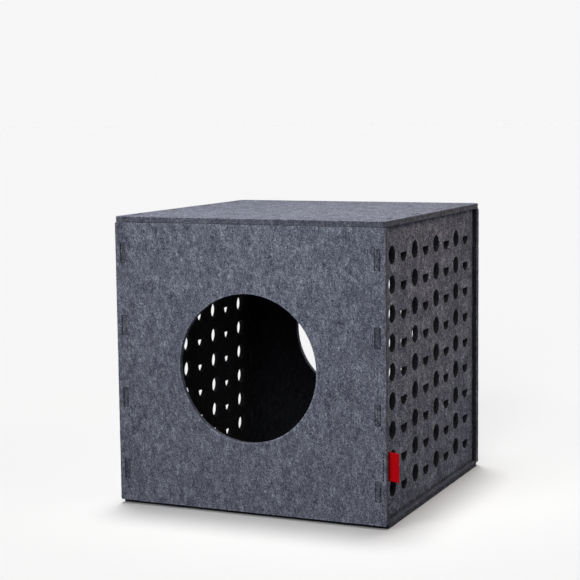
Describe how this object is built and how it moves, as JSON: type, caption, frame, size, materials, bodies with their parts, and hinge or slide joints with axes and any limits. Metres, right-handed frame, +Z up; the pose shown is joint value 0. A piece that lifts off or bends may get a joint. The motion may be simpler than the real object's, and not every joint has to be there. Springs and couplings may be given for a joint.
{
  "type": "felt pet cube",
  "caption": "Flat-pack felt cube for a cat: slotted felt boards with round doorways front and back, perforated tabbed sides, a lift-off lid and a small cloth label.",
  "frame": {"origin": "middle of the footprint on the floor, under the base", "axes": "+Z up, the front doorway faces -Y, +X is the side with the label"},
  "size_m": [0.4085, 0.4, 0.4],
  "materials": {
    "felt": "mottled grey pressed felt, matt",
    "label_cloth": "red woven ribbon, slight sheen"
  },
  "bodies": {
    "carcass": {"base_panel": "felt", "left_side_panel": "felt", "right_side_panel": "felt"},
    "front": {"front_panel": "felt", "label_sewn_end": "label_cloth"},
    "back": {"back_panel": "felt"},
    "lid": {"lid_panel": "felt"},
    "label": {"label_flap": "label_cloth"}
  },
  "joints": [
    {"name": "lid_lift", "type": "slide", "parent": "carcass", "child": "lid", "axis": [0, 0, 1], "range_m": [0, 0.12]},
    {"name": "front_pull", "type": "slide", "parent": "carcass", "child": "front", "axis": [0, -1, 0], "range_m": [0, 0.12]},
    {"name": "back_pull", "type": "slide", "parent": "carcass", "child": "back", "axis": [0, 1, 0], "range_m": [0, 0.12]},
    {"name": "label_bend", "type": "hinge", "parent": "front", "child": "label", "pos_m": [0.1978, -0.1915, 0.083], "axis": [0, 0, 1], "range_deg": [-80, 80]}
  ]
}
